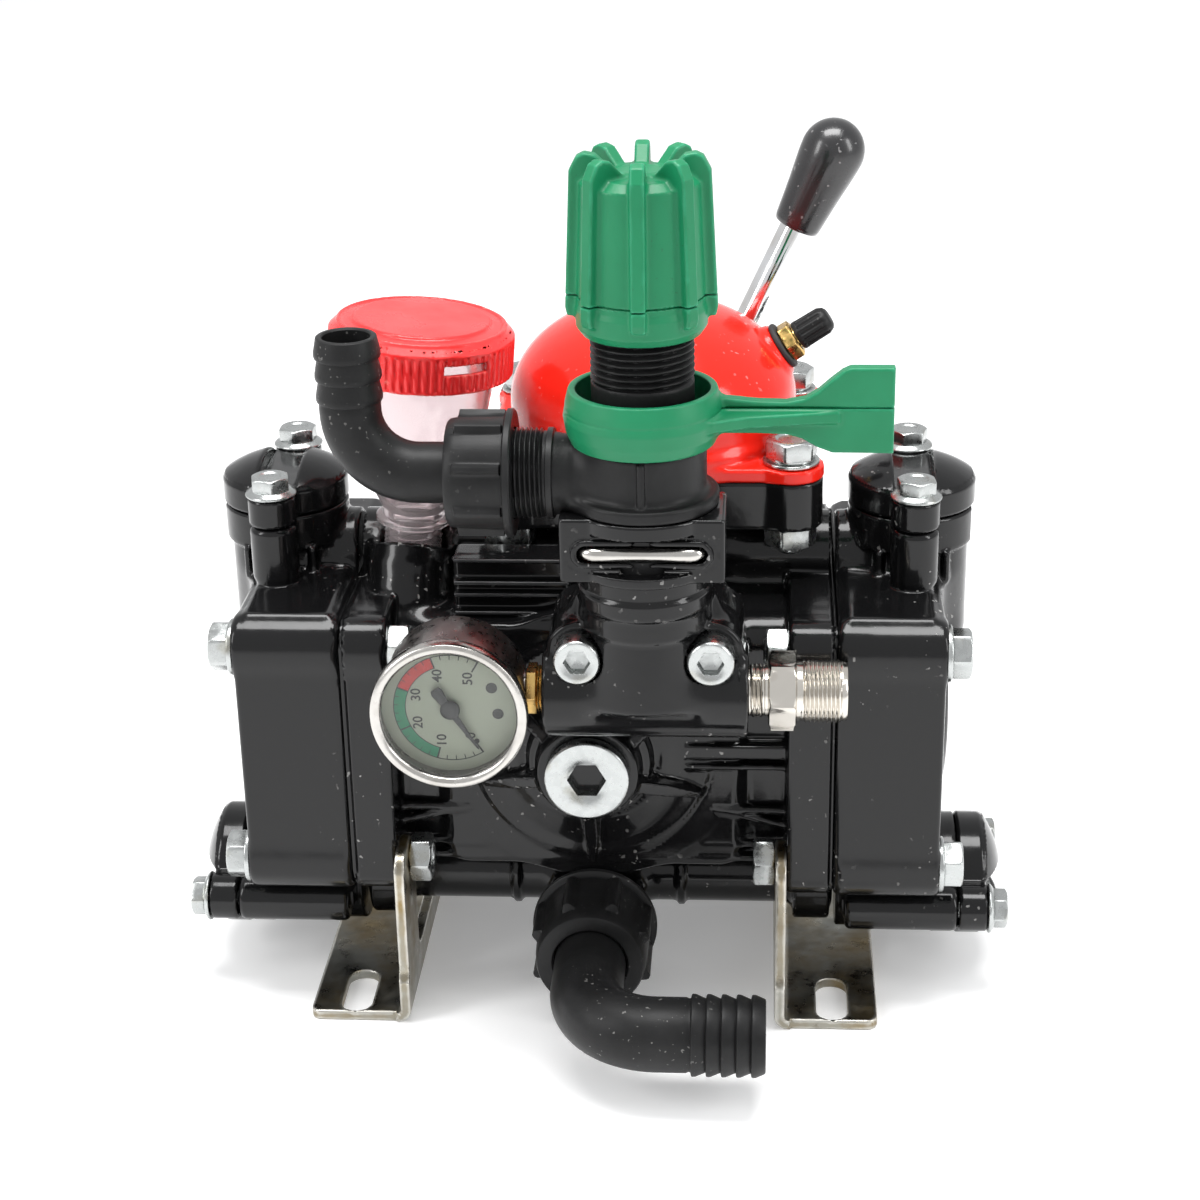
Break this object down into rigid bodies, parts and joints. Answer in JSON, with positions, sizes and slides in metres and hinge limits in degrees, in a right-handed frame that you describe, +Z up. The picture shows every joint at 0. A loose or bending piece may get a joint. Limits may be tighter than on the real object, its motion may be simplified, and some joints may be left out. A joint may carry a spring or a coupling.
{
  "type": "twin-diaphragm sprayer pump",
  "caption": "Twin-diaphragm sprayer pump on slotted feet with a red pressure accumulator, oil cup, gauge, regulator with knob and relief lever, hose tails and a clutch lever",
  "frame": {"origin": "on the floor under the feet, at the centre of the whole pump's box: midway between the pump heads and between the suction elbow's front and the input shaft's end", "axes": "+X to the right along the outlet, +Y to the rear along the crankshaft and input shaft, +Z up"},
  "size_m": [0.3064, 0.2784, 0.3265],
  "materials": {
    "black_paint": "gloss stove enamel on cast aluminium",
    "red_paint": "gloss red enamel",
    "green_plastic": "satin moulded polymer",
    "red_plastic": "gloss moulded polymer",
    "black_plastic": "glass-filled nylon, fine grain",
    "grip_plastic": "satin phenolic",
    "zinc": "bright zinc plate",
    "yellow_zinc": "aged yellow zinc plate",
    "nickel": "nickel plate",
    "chrome": "polished chrome",
    "stainless": "polished stainless",
    "brass": "machined",
    "steel": "ground and oiled",
    "aluminium": "machined",
    "clear_plastic": "clear polymer, slightly pink",
    "lens": "clear glass",
    "dial": "printed aluminium",
    "needle": "matt black",
    "rubber": "moulded nitrile"
  },
  "bodies": {
    "housing": {"crankcase": "black_paint", "oil_plug": "zinc", "head_left": "black_paint", "head_right": "black_paint", "head_bolts": "zinc", "hex_nuts": "zinc", "valve_covers": "black_paint", "flange_bolts": "zinc", "suction_manifold": "black_paint", "suction_union_nut": "black_plastic", "feet": "yellow_zinc", "accumulator_base": "black_paint", "accumulator_membrane": "rubber", "accumulator_dome": "red_paint", "accumulator_bolts": "zinc", "charging_valve": "brass", "oil_cup": "clear_plastic", "control_manifold": "black_paint", "manifold_screws": "zinc", "gauge_adapter": "brass", "gauge_case": "stainless", "gauge_bezel": "stainless", "gauge_lens": "lens", "gauge_dial": "dial", "outlet_fitting": "nickel", "regulator_body": "black_plastic", "regulator_spring": "steel", "regulator_plunger": "brass", "bypass_union_nut": "black_plastic", "shaft_bearings": "steel", "cylinder_liners": "steel", "diaphragms": "rubber", "valve_cages": "black_plastic", "valve_springs": "steel", "clutch_housing": "black_paint", "clutch_cover": "black_paint"},
    "crankshaft": {"crankshaft": "steel", "eccentric_bearing": "steel"},
    "pistons": {"piston_yoke": "steel", "pistons": "aluminium", "diaphragm_plates": "aluminium"},
    "input_shaft": {"input_shaft": "steel"},
    "dog_sleeve": {"dog_sleeve": "steel"},
    "shift_collar": {"shift_collar": "brass"},
    "clutch_lever": {"cam_ring": "steel", "lever_rod": "chrome", "lever_grip": "grip_plastic"},
    "spring_cap": {"spring_cap": "brass"},
    "pressure_knob": {"pressure_knob": "green_plastic"},
    "relief_lever": {"relief_lever": "green_plastic"},
    "gauge_needle": {"gauge_needle": "needle"},
    "oil_cup_cap": {"oil_cup_cap": "red_plastic"},
    "charging_valve_cap": {"charging_valve_cap": "black_plastic"},
    "retaining_clip": {"retaining_clip": "stainless"},
    "suction_elbow": {"suction_elbow": "black_plastic"},
    "bypass_elbow": {"bypass_elbow": "black_plastic"},
    "delivery_disc_left": {"delivery_disc_left": "steel"},
    "delivery_disc_right": {"delivery_disc_right": "steel"},
    "suction_disc_left": {"suction_disc_left": "steel"},
    "suction_disc_right": {"suction_disc_right": "steel"}
  },
  "joints": [
    {"name": "crankshaft_spin", "type": "hinge", "parent": "housing", "child": "crankshaft", "pos_m": [0, 0, 0.1013], "axis": [0, 1, 0], "continuous": true},
    {"name": "input_shaft_spin", "type": "hinge", "parent": "housing", "child": "input_shaft", "pos_m": [0, 0.12, 0.1013], "axis": [0, 1, 0], "continuous": true},
    {"name": "clutch_lever_swing", "type": "hinge", "parent": "housing", "child": "clutch_lever", "pos_m": [0, 0.091, 0.1013], "axis": [0, 1, 0], "range_deg": [-50, 0]},
    {"name": "dog_sleeve_slide", "type": "slide", "parent": "input_shaft", "child": "dog_sleeve", "axis": [0, 1, 0], "range_m": [-0.0061, 0]},
    {"name": "shift_collar_slide", "type": "slide", "parent": "housing", "child": "shift_collar", "axis": [0, 1, 0], "range_m": [-0.0061, 0]},
    {"name": "piston_stroke", "type": "slide", "parent": "housing", "child": "pistons", "axis": [1, 0, 0], "range_m": [-0.004, 0.004], "deforming": ["diaphragms"]},
    {"name": "spring_cap_slide", "type": "slide", "parent": "housing", "child": "spring_cap", "axis": [0, 0, 1], "range_m": [-0.0076, 0], "deforming": ["regulator_spring"]},
    {"name": "pressure_knob_turn", "type": "hinge", "parent": "spring_cap", "child": "pressure_knob", "pos_m": [0.0219, -0.082, 0.29], "axis": [0, 0, 1], "range_deg": [-1080, 0]},
    {"name": "relief_lever_turn", "type": "hinge", "parent": "housing", "child": "relief_lever", "pos_m": [0.0219, -0.082, 0.235], "axis": [0, 0, 1], "range_deg": [-90, 0]},
    {"name": "gauge_needle_turn", "type": "hinge", "parent": "housing", "child": "gauge_needle", "pos_m": [-0.044, -0.1, 0.1398], "axis": [0, 1, 0], "range_deg": [0, 243], "stiffness_Nm_per_rad": 0.001},
    {"name": "oil_cup_cap_lift", "type": "slide", "parent": "housing", "child": "oil_cup_cap", "axis": [0.0872, 0, 0.9962], "range_m": [0, 0.06]},
    {"name": "charging_valve_cap_pull", "type": "slide", "parent": "housing", "child": "charging_valve_cap", "axis": [0.8387, 0, 0.5446], "range_m": [0, 0.015]},
    {"name": "retaining_clip_pull", "type": "slide", "parent": "housing", "child": "retaining_clip", "axis": [0, -1, 0], "range_m": [0, 0.045]},
    {"name": "suction_elbow_swivel", "type": "hinge", "parent": "housing", "child": "suction_elbow", "pos_m": [0, -0.068, 0.028], "axis": [0, 1, 0], "range_deg": [-180, 0]},
    {"name": "bypass_elbow_swivel", "type": "hinge", "parent": "housing", "child": "bypass_elbow", "pos_m": [-0.04, -0.082, 0.2188], "axis": [1, 0, 0], "range_deg": [0, 90]},
    {"name": "delivery_disc_left_lift", "type": "slide", "parent": "housing", "child": "delivery_disc_left", "axis": [0, 0, 1], "range_m": [0, 0.0035], "stiffness_N_per_m": 60, "springref_m": -0.002, "deforming": ["valve_springs"]},
    {"name": "delivery_disc_right_lift", "type": "slide", "parent": "housing", "child": "delivery_disc_right", "axis": [0, 0, 1], "range_m": [0, 0.0035], "stiffness_N_per_m": 60, "springref_m": -0.002, "deforming": ["valve_springs"]},
    {"name": "suction_disc_left_lift", "type": "slide", "parent": "housing", "child": "suction_disc_left", "axis": [-1, 0, 0], "range_m": [0, 0.0035], "stiffness_N_per_m": 60, "springref_m": -0.002, "deforming": ["valve_springs"]},
    {"name": "suction_disc_right_lift", "type": "slide", "parent": "housing", "child": "suction_disc_right", "axis": [1, 0, 0], "range_m": [0, 0.0035], "stiffness_N_per_m": 60, "springref_m": -0.002, "deforming": ["valve_springs"]}
  ],
  "couplings": [
    {"joint": "dog_sleeve_slide", "follows": "clutch_lever_swing", "m_per_rad": 0.0068755},
    {"joint": "shift_collar_slide", "follows": "clutch_lever_swing", "m_per_rad": 0.0068755},
    {"joint": "spring_cap_slide", "follows": "pressure_knob_turn", "m_per_rad": 0.00039789}
  ]
}
